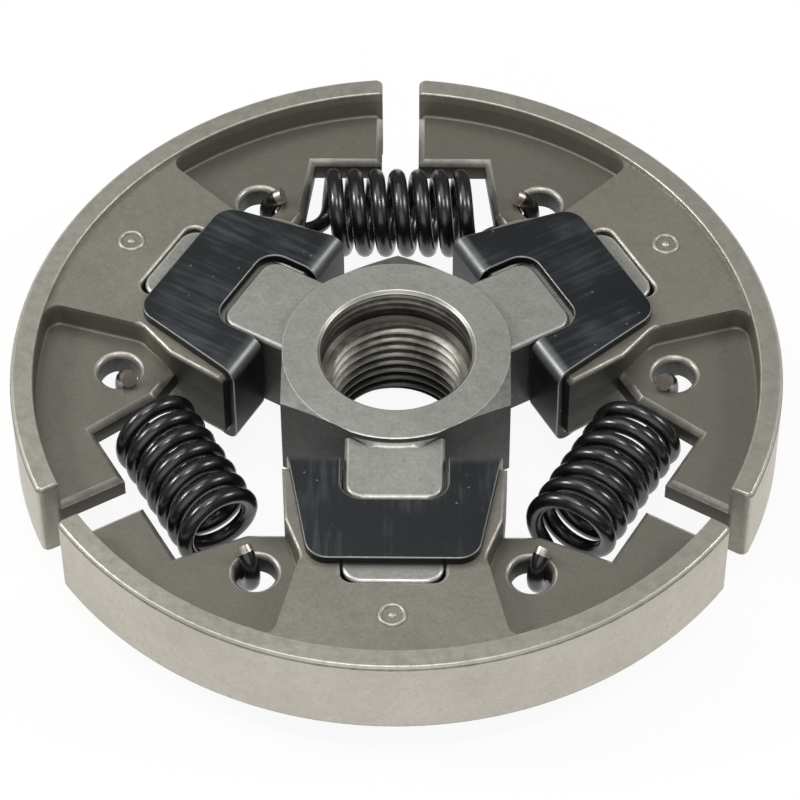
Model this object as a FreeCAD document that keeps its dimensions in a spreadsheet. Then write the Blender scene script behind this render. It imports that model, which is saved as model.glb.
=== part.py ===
"""Centrifugal clutch of a chainsaw: a carrier, three shoes, three retainers and three tension springs.

Millimetres. The origin is on the bore's axis at the foot of the hub, and +Z points along the crankshaft.
"""
import FreeCAD, Part
import math
import os
import Sketcher
from FreeCAD import Placement, Rotation, Vector

SIZES = (
    ("hub_height", 12.0, "carrier, foot to top face"),
    ("mid_height", 7.05, "middle plane of arms, shoes, retainers and springs"),
    ("hex_across", 19.0, "hexagon across its flats"),
    ("hex_chamfer_angle", 22.0, "slope of the chamfer on the hexagon's corners, degrees"),
    ("collar_radius", 9.3, "round foot of the hub"),
    ("collar_height", 3.0, "round foot of the hub"),
    ("thread_radius", 6.0, "crank thread, at its roots"),
    ("thread_lead_in", 0.5, "chamfer at the foot of the thread"),
    ("relief_radius", 6.35, "plain bore above the thread"),
    ("relief_depth", 3.0, "plain bore above the thread"),
    ("mouth_chamfer", 0.25, "top edge of the bore"),
    ("arm_width", 8.2, "arm, side to side"),
    ("arm_reach", 23.05, "arm, axis to tip"),
    ("arm_thickness", 6.9, "arm inside its retainer"),
    ("arm_corner", 1.6, "corners of the arm's tip"),
    ("root_reach", 15.0, "thick root of the arm, axis to step"),
    ("root_thickness", 8.1, "thick root of the arm"),
    ("root_corner", 1.5, "corners of the thick root"),
    ("root_chamfer", 0.35, "upper and lower edges of the thick root"),
    ("root_wall_margin", 0.1, "turned wall of the hub above each arm, outside the hexagon's flats"),
    ("root_foot", 0.35, "slope at the foot of the turned wall"),
    ("drum_radius", 33.0, "friction face of a shoe, about its own centre"),
    ("shoe_travel", 1.0, "from rest to the drum"),
    ("shoe_gap", 3.25, "between neighbouring shoes at rest"),
    ("rim_height", 8.1, "friction rim"),
    ("rim_thickness", 1.9, "friction rim"),
    ("rim_chamfer", 0.25, "edges of the friction face"),
    ("rim_end_round", 0.6, "upright corners of the friction face"),
    ("web_thickness", 2.5, "webs between rim and block"),
    ("web_chamfer", 0.5, "edges of the webs along the spring notch and the gap"),
    ("block_drop", 0.5, "block's faces below the rim's edges"),
    ("block_inner", 11.35, "block's face towards the hub"),
    ("block_inner_chamfer", 0.45, "edges of that face, inside the retainer's folds"),
    ("block_width", 18.4, "block at the hub end"),
    ("shoulder_reach", 16.75, "axis to the block's shoulder"),
    ("shoulder_width", 17.7, "block at its shoulder"),
    ("shoulder_round", 1.0, "upright edges of the shoulder"),
    ("waist_reach", 20.5, "axis to the block's waist"),
    ("waist_width", 14.9, "block at its waist"),
    ("waist_round", 2.0, "upright edges of the waist"),
    ("block_rim_width", 21.0, "block's sides, carried on to the friction face"),
    ("pocket_round", 1.2, "upright corners between rim and block"),
    ("notch_back", 24.7, "axis to the spring notch's straight edge"),
    ("notch_width", 15.0, "spring notch across both shoes"),
    ("tongue_reach", 16.45, "axis to the hub edge of the hook's web"),
    ("tongue_width", 23.8, "hook webs, outside to outside"),
    ("tongue_round", 1.0, "hub corners of the hook webs"),
    ("hook_radius", 23.33, "axis to a hook hole"),
    ("hook_angle", 28.44, "hook hole from the arm's centre line, degrees"),
    ("hook_hole", 3.4, "hook hole's diameter"),
    ("hook_mouth_chamfer", 0.4, "mouths of the hook holes"),
    ("slot_clearance", 0.12, "arm to slot, each side"),
    ("tip_clearance", 0.06, "arm's tip to the slot's end at rest"),
    ("slot_round", 1.0, "corners of the slot's end"),
    ("sheet_thickness", 0.9, "retainer's sheet"),
    ("fold_radius", 1.3, "outside of the retainer's folds"),
    ("plate_reach", 21.4, "axis to the plates' outer edges"),
    ("plate_hub_width", 17.7, "plates at the hub wall"),
    ("plate_outer_width", 13.6, "plates at their outer edges"),
    ("plate_corner", 1.9, "outer corners of the plates"),
    ("plate_notch_reach", 15.4, "axis to the end of the arm's notch"),
    ("plate_notch_corner", 1.8, "corners of the arm's notch"),
    ("plate_notch_clearance", 0.3, "arm's root to its notch, each side"),
    ("coil_diameter", 7.75, "outside of the coils"),
    ("wire_diameter", 1.4, "spring wire"),
    ("coil_pitch", 1.85, "coil to coil at rest"),
    ("coil_turns", 6.72, "turns between the leads"),
    ("lead_reach", 1.6, "how far a lead keeps the way of the coil and of the hook"),
    ("hook_bend", 2.4, "radius of a hook, to the middle of its wire"),
    ("hook_seat", 0.34, "hook's wire to the wall of its hole"),
    ("hook_end_angle", 66.0, "how far a hook closes above the web, degrees"),
)
ARM_ANGLES = {"front": -90.0, "right": 30.0, "left": 150.0}
GAP_ANGLES = {"back": 90.0, "left": 210.0, "right": 330.0}
ARM_COUNT = len(ARM_ANGLES)
HALF_SECTOR_ANGLE = 180.0 / ARM_COUNT
HEX_CORNER_ANGLE = 30.0
BEYOND = "2.2*sizes.drum_radius"
FINE = 1e-3
WIRE_SIDE_COUNT = 6
COIL_STEP_COUNT = 9
LEAD_STEP_COUNT = 3
HOOK_STEP_COUNT = 5
MITRED_CORNERS = 1


def make_sheet(doc):
    """Driving dimensions, one alias a row."""
    sheet = doc.addObject("Spreadsheet::Sheet", "sizes")
    for row, (alias, number, meaning) in enumerate(SIZES, start=1):
        sheet.set(f"A{row}", alias)
        sheet.set(f"B{row}", str(number))
        sheet.set(f"C{row}", meaning)
        sheet.setAlias(f"B{row}", alias)
    doc.recompute()
    return sheet


def origin_item(body, role):
    return next(item for item in body.Origin.OriginFeatures if item.Role == role)


def new_sketch(body, name, role="XY_Plane", height=None):
    """Sketch on one of the body's own planes, lifted along its normal by an expression."""
    sketch = body.newObject("Sketcher::SketchObject", name)
    sketch.AttachmentSupport = [(origin_item(body, role), "")]
    sketch.MapMode = "FlatFace"
    if height:
        sketch.setExpression("AttachmentOffset.Base.z", height)
    return sketch


def drive_point(sketch, geometry, end, x, y):
    """Ties one point of a sketch to two expressions."""
    for kind, text in (("DistanceX", x), ("DistanceY", y)):
        point = sketch.getPoint(geometry, end)
        start = point.x if kind == "DistanceX" else point.y
        index = sketch.addConstraint(Sketcher.Constraint(kind, -1, 1, geometry, end, start))
        sketch.setExpression(f"Constraints[{index}]", text)


def add_polygon(sketch, corners):
    """Closed outline through corners given as pairs of expressions."""
    first = sketch.GeometryCount
    count = len(corners)
    turn = 2 * math.pi / count
    ring = [Vector(math.cos(turn * step), math.sin(turn * step), 0) for step in range(count)]
    for step in range(count):
        sketch.addGeometry(Part.LineSegment(ring[step], ring[(step + 1) % count]))
    for step in range(count):
        following = first + (step + 1) % count
        sketch.addConstraint(Sketcher.Constraint("Coincident", first + step, 2, following, 1))
    for step, (x, y) in enumerate(corners):
        drive_point(sketch, first + step, 1, x, y)


def add_circle(sketch, x, y, radius):
    circle = sketch.addGeometry(Part.Circle(Vector(0, 0, 0), Vector(0, 0, 1), 1.0))
    drive_point(sketch, circle, 3, x, y)
    index = sketch.addConstraint(Sketcher.Constraint("Radius", circle, 1.0))
    sketch.setExpression(f"Constraints[{index}]", radius)


def mirrored(corners):
    """Outline closed by the mirror image of its corners about the sketch's X axis."""
    return corners + [(x, f"-({y})") for x, y in reversed(corners)]


def add_pad(body, name, sketch, length, symmetric=True):
    pad = body.newObject("PartDesign::Pad", name)
    pad.Profile = sketch
    pad.SideType = "Symmetric" if symmetric else "One side"
    pad.setExpression("Length", length)
    body.Document.recompute()
    return pad


def add_pocket(body, name, sketch):
    """Cut right through, both ways from the sketch, and proved by the volume it takes away."""
    before = body.Shape.Volume
    pocket = body.newObject("PartDesign::Pocket", name)
    pocket.Profile = sketch
    pocket.SideType = "Two sides"
    pocket.Type = "ThroughAll"
    pocket.Type2 = "ThroughAll"
    body.Document.recompute()
    prove_cut(body, name, before)
    return pocket


def add_groove(body, name, sketch, angle="360"):
    """Turned cut about the body's upright axis, centred on the sketch."""
    before = body.Shape.Volume
    groove = body.newObject("PartDesign::Groove", name)
    groove.Profile = sketch
    groove.ReferenceAxis = (origin_item(body, "Z_Axis"), [""])
    groove.Midplane = True
    groove.setExpression("Angle", angle)
    body.Document.recompute()
    prove_cut(body, name, before)
    return groove


def prove_cut(body, name, before):
    if body.Shape.Volume > before - FINE:
        raise RuntimeError(f"{body.Label}: {name} cuts nothing")


def add_polar(body, name, originals):
    """Repeats features once for each arm."""
    pattern = body.newObject("PartDesign::PolarPattern", name)
    pattern.Originals = originals
    pattern.Axis = (origin_item(body, "Z_Axis"), [""])
    pattern.Angle = 360.0
    pattern.Occurrences = ARM_COUNT
    body.Tip = pattern
    body.Document.recompute()
    return pattern


def dress(body, kind, name, size, test):
    """Fillet or chamfer on the edges of the body's last feature that pass a test."""
    base = body.Tip
    edges = base.Shape.Edges
    chosen = [f"Edge{index}" for index, edge in enumerate(edges, start=1) if test(edge)]
    if not chosen:
        raise RuntimeError(f"{body.Label}: {name} finds no edge")
    feature = body.newObject(f"PartDesign::{kind}", name)
    feature.Base = (base, chosen)
    feature.setExpression("Radius" if kind == "Fillet" else "Size", size)
    body.Document.recompute()
    return feature


def middle(edge):
    return edge.valueAt((edge.FirstParameter + edge.LastParameter) / 2)


def upright(edge):
    return abs(abs(edge.tangentAt(edge.FirstParameter).z) - 1) < FINE and isinstance(edge.Curve, Part.Line)


def level_at(edge, height):
    """True where an edge lies flat at plus or minus a height."""
    box = edge.BoundBox
    return box.ZLength < FINE and abs(abs(box.ZMax) - height) < FINE


def round_about(edge, radius, centre_x=0.0):
    """True where an edge is an arc of a radius about an upright axis."""
    curve = edge.Curve
    if not isinstance(curve, Part.Circle):
        return False
    return abs(curve.Radius - radius) < FINE and from_axis(curve.Center, centre_x) < FINE


def from_axis(point, centre_x=0.0):
    """Distance from an upright axis."""
    return math.hypot(point.x - centre_x, point.y)


def near_plan(point, x, y):
    """True above or below a place, on either side of the X axis."""
    return math.hypot(point.x - x, abs(point.y) - y) < 10 * FINE


def make_carrier(doc):
    """Hexagonal hub with a threaded bore and three arms, pressed and sintered as one piece."""
    sizes = doc.getObject("sizes")
    body = doc.addObject("PartDesign::Body", "carrier")
    body.Label = "carrier"

    collar = new_sketch(body, "collar_outline")
    add_circle(collar, "0", "0", "sizes.collar_radius")
    add_pad(body, "collar", collar, "sizes.collar_height", symmetric=False)

    corner = f"sizes.hex_across/2/cos({HEX_CORNER_ANGLE})"
    hexagon = new_sketch(body, "hex_outline", height="sizes.collar_height")
    corner_angles = [HEX_CORNER_ANGLE + 2 * HEX_CORNER_ANGLE * step for step in range(6)]
    add_polygon(hexagon, [(f"{corner}*cos({angle})", f"{corner}*sin({angle})") for angle in corner_angles])
    add_pad(body, "hexagon", hexagon, "sizes.hub_height-sizes.collar_height", symmetric=False)

    add_limbs(body, "root", sizes)
    root_levels = [sizes.mid_height + side * sizes.root_thickness / 2 for side in (1, -1)]
    dress(body, "Chamfer", "root_edges", "sizes.root_chamfer",
          lambda edge: is_root_end(edge, sizes, root_levels))
    add_limbs(body, "arm", sizes)

    root_top = "sizes.mid_height+sizes.root_thickness/2"
    wall_radius = "(sizes.hex_across/2+sizes.root_wall_margin)"
    wall = new_sketch(body, "root_wall_outline", role="YZ_Plane")
    outside = f"-({corner}+1)"
    above = "sizes.hub_height+1"
    add_polygon(wall, [
        (f"-{wall_radius}", f"{root_top}+sizes.root_foot"),
        (f"-({wall_radius}+sizes.root_foot)", root_top),
        (outside, root_top),
        (outside, above),
        (f"-{wall_radius}", above),
    ])
    sweep = f"2*asin(sizes.arm_width/2/{wall_radius})"
    add_polar(body, "root_walls", [add_groove(body, "root_wall", wall, sweep)])

    chamfer = new_sketch(body, "hex_chamfer_outline", role="XZ_Plane")
    flat = "sizes.hex_across/2"
    past = f"{flat}+(sizes.hub_height-({root_top}))/tan(sizes.hex_chamfer_angle)"
    add_polygon(chamfer, [(flat, "sizes.hub_height"), (past, root_top), (past, "sizes.hub_height")])
    add_groove(body, "hex_chamfer", chamfer)

    bore = new_sketch(body, "bore_outline", role="XZ_Plane")
    shoulder = "sizes.hub_height-sizes.relief_depth"
    add_polygon(bore, [
        ("0", "0"),
        ("sizes.thread_radius+sizes.thread_lead_in", "0"),
        ("sizes.thread_radius", "sizes.thread_lead_in"),
        ("sizes.thread_radius", f"{shoulder}-(sizes.relief_radius-sizes.thread_radius)"),
        ("sizes.relief_radius", shoulder),
        ("sizes.relief_radius", "sizes.hub_height-sizes.mouth_chamfer"),
        ("sizes.relief_radius+sizes.mouth_chamfer", "sizes.hub_height"),
        ("0", "sizes.hub_height"),
    ])
    add_groove(body, "bore", bore)
    return body


def add_limbs(body, name, sizes):
    """Three limbs of the carrier, with round upright corners at their ends."""
    outline = new_sketch(body, f"{name}_outline", height="sizes.mid_height")
    half = "sizes.arm_width/2"
    tip = f"-sizes.{name}_reach"
    add_polygon(outline, [(f"-{half}", "0"), (f"-{half}", tip), (half, tip), (half, "0")])
    add_polar(body, f"{name}s", [add_pad(body, name, outline, f"sizes.{name}_thickness")])
    tip_distance = math.hypot(sizes.arm_width / 2, sizes.getPropertyByName(f"{name}_reach"))
    dress(body, "Fillet", f"{name}_corners", f"sizes.{name}_corner",
          lambda edge: upright(edge) and abs(from_axis(middle(edge)) - tip_distance) < FINE)


def is_root_end(edge, sizes, levels):
    """True for the outer edge of each arm's thick root, above and below."""
    point = middle(edge)
    if not isinstance(edge.Curve, Part.Line) or edge.BoundBox.ZLength > FINE:
        return False
    at_end = abs(from_axis(point) - sizes.root_reach) < FINE
    return at_end and any(abs(point.z - level) < FINE for level in levels)


def gap_point(distance, offset):
    """Corner given along and off the middle line of the gap beside a shoe, in the shoe's own axes."""
    x = f"({distance})*cos({HALF_SECTOR_ANGLE})+({offset})*sin({HALF_SECTOR_ANGLE})"
    y = f"({distance})*sin({HALF_SECTOR_ANGLE})-({offset})*cos({HALF_SECTOR_ANGLE})"
    return x, y


def make_shoe(doc, side, angle):
    """Centrifugal weight, modelled about its middle plane with its arm along +X."""
    sizes = doc.getObject("sizes")
    body = doc.addObject("PartDesign::Body", f"shoe_{side}")
    body.Label = f"shoe_{side}"
    centre = "-sizes.shoe_travel"

    web = new_sketch(body, "web_outline")
    add_polygon(web, mirrored([
        ("sizes.tongue_reach", "sizes.tongue_width/2"),
        gap_point("sizes.notch_back", "sizes.notch_width/2"),
        gap_point("sizes.notch_back", "0"),
        gap_point(BEYOND, "0"),
    ]))
    add_pad(body, "web", web, "sizes.web_thickness")

    rim = new_sketch(body, "rim_outline")
    add_circle(rim, centre, "0", "1.2*sizes.drum_radius")
    add_circle(rim, centre, "0", "sizes.drum_radius-sizes.rim_thickness")
    add_pad(body, "rim", rim, "sizes.rim_height")

    block = new_sketch(body, "block_outline")
    add_polygon(block, mirrored([
        ("sizes.block_inner", "sizes.block_width/2"),
        ("sizes.shoulder_reach", "sizes.shoulder_width/2"),
        ("sizes.waist_reach", "sizes.waist_width/2"),
        ("sizes.drum_radius", "sizes.block_rim_width/2"),
    ]))
    add_pad(body, "block", block, "sizes.rim_height-2*sizes.block_drop")

    ends = new_sketch(body, "gap_faces")
    apex = f"sizes.shoe_gap/2/sin({HALF_SECTOR_ANGLE})"
    far_y = f"{BEYOND}*sin({HALF_SECTOR_ANGLE})"
    add_polygon(ends, [(apex, "0")] + mirrored([
        (f"{apex}+{BEYOND}*cos({HALF_SECTOR_ANGLE})", far_y),
        (f"-{BEYOND}", far_y),
    ]))
    add_pocket(body, "gap_cut", ends)

    face = new_sketch(body, "friction_face_outline")
    add_circle(face, centre, "0", BEYOND)
    add_circle(face, centre, "0", "sizes.drum_radius")
    add_pocket(body, "friction_face", face)

    slot = new_sketch(body, "slot_outline")
    half_slot = "sizes.arm_width/2+sizes.slot_clearance"
    add_polygon(slot, mirrored([("0", half_slot), ("sizes.arm_reach+sizes.tip_clearance", half_slot)]))
    add_pocket(body, "slot", slot)

    holes = new_sketch(body, "hook_hole_outline")
    for sign in ("", "-"):
        along = f"sizes.hook_radius*cos({sign}sizes.hook_angle)"
        across = f"sizes.hook_radius*sin({sign}sizes.hook_angle)"
        add_circle(holes, along, across, "sizes.hook_hole/2")
    add_pocket(body, "hook_holes", holes)

    dress_shoe(body, sizes)
    place_on_arm(body, angle)
    return body


def dress_shoe(body, sizes):
    """Rounds and chamfers of a pressed and sintered shoe."""
    rim_inner = sizes.drum_radius - sizes.rim_thickness
    half_web = sizes.web_thickness / 2
    half_rim = sizes.rim_height / 2
    half_block = half_rim - sizes.block_drop
    centre = -sizes.shoe_travel

    upright_rounds = {
        "slot": (sizes.arm_reach + sizes.tip_clearance, sizes.arm_width / 2 + sizes.slot_clearance),
        "pocket": block_meets_rim(sizes, rim_inner),
        "waist": (sizes.waist_reach, sizes.waist_width / 2),
        "shoulder": (sizes.shoulder_reach, sizes.shoulder_width / 2),
        "tongue": (sizes.tongue_reach, sizes.tongue_width / 2),
    }
    for name, place in upright_rounds.items():
        dress(body, "Fillet", f"{name}_rounds", f"sizes.{name}_round",
              lambda edge: upright(edge) and near_plan(middle(edge), *place))
    dress(body, "Chamfer", "block_inner_edges", "sizes.block_inner_chamfer",
          lambda edge: level_at(edge, half_block) and edge.BoundBox.XLength < FINE
          and abs(middle(edge).x - sizes.block_inner) < FINE)

    dress(body, "Chamfer", "web_edges", "sizes.web_chamfer",
          lambda edge: level_at(edge, half_web) and is_web_edge(edge, sizes))
    dress(body, "Chamfer", "hook_mouths", "sizes.hook_mouth_chamfer",
          lambda edge: level_at(edge, half_web) and isinstance(edge.Curve, Part.Circle)
          and abs(edge.Curve.Radius - sizes.hook_hole / 2) < FINE)
    dress(body, "Fillet", "rim_ends", "sizes.rim_end_round",
          lambda edge: upright(edge) and abs(from_axis(middle(edge), centre) - sizes.drum_radius) < FINE)
    dress(body, "Chamfer", "rim_edges", "sizes.rim_chamfer",
          lambda edge: level_at(edge, half_rim) and round_about(edge, sizes.drum_radius, centre))


def plan_at_gap(distance, offset):
    """Place along and off the middle line of the gap beside a shoe, in the shoe's own axes."""
    turn = math.radians(HALF_SECTOR_ANGLE)
    x = distance * math.cos(turn) + offset * math.sin(turn)
    y = distance * math.sin(turn) - offset * math.cos(turn)
    return x, y


def is_web_edge(edge, sizes):
    """True for an edge along the gap, or along the spring notch beside it."""
    notch_corner = plan_at_gap(sizes.notch_back, sizes.notch_width / 2)
    if any(near_plan(vertex.Point, *notch_corner) for vertex in edge.Vertexes):
        return True
    point = middle(edge)
    turn = math.radians(HALF_SECTOR_ANGLE)
    from_gap = point.x * math.sin(turn) - abs(point.y) * math.cos(turn)
    return abs(from_gap - sizes.shoe_gap / 2) < FINE


def block_meets_rim(sizes, rim_inner):
    """Place where the block's side runs into the rim's inner wall."""
    start_x = sizes.waist_reach
    start_y = sizes.waist_width / 2
    run_x = sizes.drum_radius - start_x
    run_y = sizes.block_rim_width / 2 - start_y
    from_centre = start_x + sizes.shoe_travel
    square = run_x ** 2 + run_y ** 2
    half_linear = from_centre * run_x + start_y * run_y
    constant = from_centre ** 2 + start_y ** 2 - rim_inner ** 2
    share = (-half_linear + math.sqrt(half_linear ** 2 - square * constant)) / square
    return start_x + share * run_x, start_y + share * run_y


def place_on_arm(body, angle):
    """Turns a piece modelled along +X onto its arm and lifts it to the middle plane."""
    body.Placement = Placement(Vector(0, 0, 0), Rotation(Vector(0, 0, 1), angle))
    body.setExpression("Placement.Base.z", "sizes.mid_height")
    body.Document.recompute()


def make_retainer(doc, side, angle):
    """Folded sheet clip that slides over the shoe's block from the hub side."""
    sizes = doc.getObject("sizes")
    body = doc.addObject("PartDesign::Body", f"retainer_{side}")
    body.Label = f"retainer_{side}"
    wall = "sizes.block_inner-sizes.sheet_thickness"
    half_inside = "sizes.rim_height/2-sizes.block_drop"
    half_outside = f"({half_inside}+sizes.sheet_thickness)"

    channel = new_sketch(body, "channel_outline", role="XZ_Plane")
    add_polygon(channel, mirrored([
        ("sizes.block_inner", half_inside),
        ("sizes.plate_reach", half_inside),
        ("sizes.plate_reach", half_outside),
        (wall, half_outside),
    ]))
    add_pad(body, "channel", channel, "sizes.plate_hub_width")

    trim = new_sketch(body, "plate_sides")
    beyond = "sizes.plate_reach+1"
    clear = "sizes.plate_hub_width"
    for sign in ("", "-"):
        add_polygon(trim, [
            (wall, f"{sign}sizes.plate_hub_width/2"),
            ("sizes.plate_reach", f"{sign}sizes.plate_outer_width/2"),
            (beyond, f"{sign}sizes.plate_outer_width/2"),
            (beyond, f"{sign}{clear}"),
            (wall, f"{sign}{clear}"),
        ])
    add_pocket(body, "plate_trim", trim)

    notch = new_sketch(body, "arm_notch_outline")
    half_notch = "sizes.arm_width/2+sizes.plate_notch_clearance"
    add_polygon(notch, mirrored([("0", half_notch), ("sizes.plate_notch_reach", half_notch)]))
    add_pocket(body, "arm_notch", notch)

    sheet = sizes.sheet_thickness
    inside = (sizes.block_inner, sizes.rim_height / 2 - sizes.block_drop)
    outside = (inside[0] - sheet, inside[1] + sheet)
    dress(body, "Fillet", "folds", "sizes.fold_radius", lambda edge: is_fold(edge, *outside))
    dress(body, "Fillet", "fold_insides", "sizes.fold_radius-sizes.sheet_thickness",
          lambda edge: is_fold(edge, *inside))
    corners = {
        "plate": (sizes.plate_reach, sizes.plate_outer_width / 2),
        "plate_notch": (sizes.plate_notch_reach, sizes.arm_width / 2 + sizes.plate_notch_clearance),
    }
    for name, place in corners.items():
        dress(body, "Fillet", f"{name}_corners", f"sizes.{name}_corner",
              lambda edge: upright(edge) and near_plan(middle(edge), *place))
    place_on_arm(body, angle)
    return body


def is_fold(edge, x, height):
    """True for an edge across the sheet at a fold, above or below."""
    point = middle(edge)
    box = edge.BoundBox
    return box.XLength < FINE and box.YLength > 1 and level_at(edge, height) and abs(point.x - x) < FINE


def spring_line(sizes):
    """Middle line of a spring's wire as straight steps, from the middle coil both ways to a hook."""
    coil_radius = (sizes.coil_diameter - sizes.wire_diameter) / 2
    half_turns = sizes.coil_turns / 2
    count = round(half_turns * COIL_STEP_COUNT)
    coils = []
    for step in range(count + 1):
        turns = half_turns * step / count
        turn = 2 * math.pi * turns
        spoke = Vector(0, -coil_radius * math.sin(turn), coil_radius * math.cos(turn))
        coils.append(Vector(sizes.coil_pitch * turns, 0, 0) + spoke)
    slope = 2 * math.pi * coil_radius
    heading = Vector(sizes.coil_pitch, -slope * math.cos(turn), -slope * math.sin(turn)).normalize()

    bend = sizes.hook_bend
    hole_offset = sizes.hook_radius * math.sin(math.radians(HALF_SECTOR_ANGLE - sizes.hook_angle))
    seat = hole_offset - sizes.hook_hole / 2 + sizes.wire_diameter / 2 + sizes.hook_seat
    bend_centre = Vector(seat - bend, 0, 0)
    hook = []
    for step in range(HOOK_STEP_COUNT + 1):
        turn = math.radians(-90 + (90 + sizes.hook_end_angle) * step / HOOK_STEP_COUNT)
        hook.append(bend_centre + Vector(bend * math.cos(turn), 0, bend * math.sin(turn)))

    reach = sizes.lead_reach
    curve = Part.BezierCurve()
    curve.setPoles([coils[-1], coils[-1] + heading * reach, hook[0] - Vector(reach, 0, 0), hook[0]])
    lead = [curve.value(step / LEAD_STEP_COUNT) for step in range(1, LEAD_STEP_COUNT)]
    half = coils + lead + hook
    other = [Vector(-point.x, -point.y, point.z) for point in reversed(half[1:])]
    return other + half


def make_spring(doc, side, angle):
    """Tension spring: coils along its own X axis, and a round hook at each end."""
    sizes = doc.getObject("sizes")
    line = spring_line(sizes)
    path = Part.makePolygon(line)
    profile = Part.Wire(Part.makeCircle(sizes.wire_diameter / 2, line[0], line[1] - line[0]))
    section = Part.makePolygon(profile.discretize(Number=WIRE_SIDE_COUNT + 1))
    spring = doc.addObject("Part::Feature", f"spring_{side}")
    spring.Label = f"spring_{side}"
    spring.Shape = path.makePipeShell([section], True, False, MITRED_CORNERS)
    axis_distance = sizes.hook_radius * math.cos(math.radians(HALF_SECTOR_ANGLE - sizes.hook_angle))
    turned = Rotation(Vector(0, 0, 1), angle - 90)
    spring.Placement = Placement(turned.multVec(Vector(0, axis_distance, sizes.mid_height)), turned)
    return spring


def check_document(doc, pieces):
    """Stops before anything is written if a feature failed or a piece is not one sound solid."""
    doc.recompute()
    for item in doc.Objects:
        if "Invalid" in item.State or "Error" in item.State:
            raise RuntimeError(f"{item.Label}: {item.State}")
    for piece in pieces:
        shape = piece.Shape
        if shape.isNull() or not shape.isValid() or len(shape.Solids) != 1:
            raise RuntimeError(f"{piece.Label}: not one valid solid")


def main():
    doc = FreeCAD.newDocument("chainsaw_clutch")
    make_sheet(doc)
    pieces = [make_carrier(doc)]
    for side, angle in ARM_ANGLES.items():
        pieces.append(make_shoe(doc, side, angle))
        pieces.append(make_retainer(doc, side, angle))
    for side, angle in GAP_ANGLES.items():
        pieces.append(make_spring(doc, side, angle))
    check_document(doc, pieces)
    os.makedirs("parts", exist_ok=True)
    for piece in pieces:
        piece.Shape.exportStep(f"parts/{piece.Label}.step")
        print(piece.Label, f"{piece.Shape.Volume:.1f} mm3")


main()
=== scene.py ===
# %% [markdown]
# # A chainsaw's centrifugal clutch
# The clutch has a hub with three arms, three shoes that slide on them, three folded clips and three springs.
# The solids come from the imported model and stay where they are. This lesson gives them soft edges,
# round wire, a cut thread, and the finishes that sintered iron, blackened sheet and spring wire have.

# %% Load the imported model
import math

import bmesh
import bpy
from mathutils import Matrix, Vector
from mathutils.geometry import interpolate_bezier
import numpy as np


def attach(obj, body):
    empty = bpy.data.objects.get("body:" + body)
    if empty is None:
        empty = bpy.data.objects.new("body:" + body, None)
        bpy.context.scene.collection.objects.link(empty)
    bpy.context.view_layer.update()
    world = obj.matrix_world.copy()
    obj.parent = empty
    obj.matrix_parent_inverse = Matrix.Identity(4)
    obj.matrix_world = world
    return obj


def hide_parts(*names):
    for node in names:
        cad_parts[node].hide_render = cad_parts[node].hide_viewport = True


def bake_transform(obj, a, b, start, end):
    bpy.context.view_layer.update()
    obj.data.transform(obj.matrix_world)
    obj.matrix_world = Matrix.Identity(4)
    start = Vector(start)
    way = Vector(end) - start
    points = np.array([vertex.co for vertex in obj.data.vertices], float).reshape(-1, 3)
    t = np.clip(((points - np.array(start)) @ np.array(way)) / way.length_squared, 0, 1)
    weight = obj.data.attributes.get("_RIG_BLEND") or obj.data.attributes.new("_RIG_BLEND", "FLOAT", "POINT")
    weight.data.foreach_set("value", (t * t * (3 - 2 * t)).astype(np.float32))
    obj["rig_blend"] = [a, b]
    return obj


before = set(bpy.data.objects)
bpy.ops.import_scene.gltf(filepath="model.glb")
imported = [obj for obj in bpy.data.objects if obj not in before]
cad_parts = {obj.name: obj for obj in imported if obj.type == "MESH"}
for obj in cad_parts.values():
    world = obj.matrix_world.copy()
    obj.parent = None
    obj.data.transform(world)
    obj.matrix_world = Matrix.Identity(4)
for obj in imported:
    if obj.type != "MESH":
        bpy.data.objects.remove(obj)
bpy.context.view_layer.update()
MM = 0.001

# %% [markdown]
# ## Where the pieces are
# Every shoe is the same pressing, turned onto its arm. It is easier to think about one shoe whose arm points
# along X, with its middle plane at height zero, so a small helper turns that place into the clutch's own.

# %% Angles of the arms and gaps
ARMS = {"front": -90.0, "right": 30.0, "left": 150.0}
GAPS = {"back": (90.0, "left", "right"), "left": (210.0, "front", "left"), "right": (330.0, "right", "front")}
MID_HEIGHT = 7.05 * MM


def on_arm(angle):
    """Turns a shoe's own axes, arm along X and middle plane at zero, into the clutch's frame."""
    return Matrix.Translation((0, 0, MID_HEIGHT)) @ Matrix.Rotation(math.radians(angle), 4, "Z")


print("arms at", ARMS)

# %% [markdown]
# ## The camera
# The photograph was taken from about 50 degrees above, with a long lens, so the far shoes are hardly smaller
# than the near one. The camera could be placed by hand, but its angles, distance and small roll repeat that
# view exactly and can be read off here.

# %% Camera at the photograph's view
VIEW_AZIMUTH, VIEW_ELEVATION, VIEW_ROLL = (math.radians(turn) for turn in (0.9751, 50.2723, -0.3727))
VIEW_TARGET = Vector((0.314, -1.994, 7.8)) * MM
VIEW_DISTANCE = 319.9 * MM
SENSOR_MM, LENS_MM = 36.0, 172.14
CLIP_START = 10 * MM


def view_axes(azimuth, elevation, roll):
    """The camera's right, up and backward directions."""
    back = Vector((math.sin(azimuth) * math.cos(elevation), -math.cos(azimuth) * math.cos(elevation),
                   math.sin(elevation)))
    right = Vector((math.cos(azimuth), math.sin(azimuth), 0))
    up = back.cross(right)
    return (math.cos(roll) * right + math.sin(roll) * up,
            math.cos(roll) * up - math.sin(roll) * right, back)


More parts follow.
